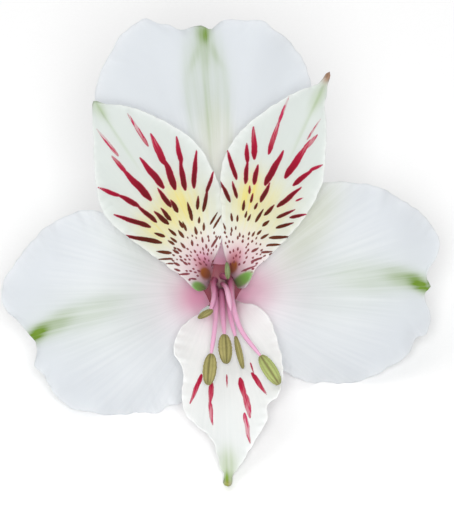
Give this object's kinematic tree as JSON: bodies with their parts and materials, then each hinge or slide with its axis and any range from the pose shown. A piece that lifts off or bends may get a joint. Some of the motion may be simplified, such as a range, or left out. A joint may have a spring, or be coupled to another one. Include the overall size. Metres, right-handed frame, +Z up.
{
  "type": "alstroemeria bloom with cut stem",
  "caption": "Open white alstroemeria bloom with streaked inner tepals and stamens, on its cut stem, lying on its side tepals and the stem.",
  "frame": {"origin": "centre of the bounding box, on the surface that the bloom lies on", "axes": "+Z up, +Y from the bloom to the cut end of the stem, -Y the way the bloom faces, +X to the right of one who looks into its face"},
  "size_m": [0.0712, 0.1061, 0.0527],
  "materials": {
    "outer_tepals": "satin",
    "inner_tepals": "satin",
    "filaments": "satin",
    "anthers": "matte",
    "style": "satin",
    "ovary": "satin",
    "stalk": "satin"
  },
  "bodies": {
    "root": {"outer_tepal_top": "outer_tepals", "outer_tepal_left": "outer_tepals", "outer_tepal_right": "outer_tepals", "inner_tepal_left": "inner_tepals", "inner_tepal_right": "inner_tepals", "inner_tepal_lower": "inner_tepals", "filament_1": "filaments", "filament_2": "filaments", "filament_3": "filaments", "filament_4": "filaments", "filament_5": "filaments", "filament_6": "filaments", "anther_1": "anthers", "anther_2": "anthers", "anther_3": "anthers", "anther_4": "anthers", "anther_5": "anthers", "anther_6": "anthers", "style": "style", "ovary": "ovary", "stalk": "stalk"}
  },
  "joints": []
}
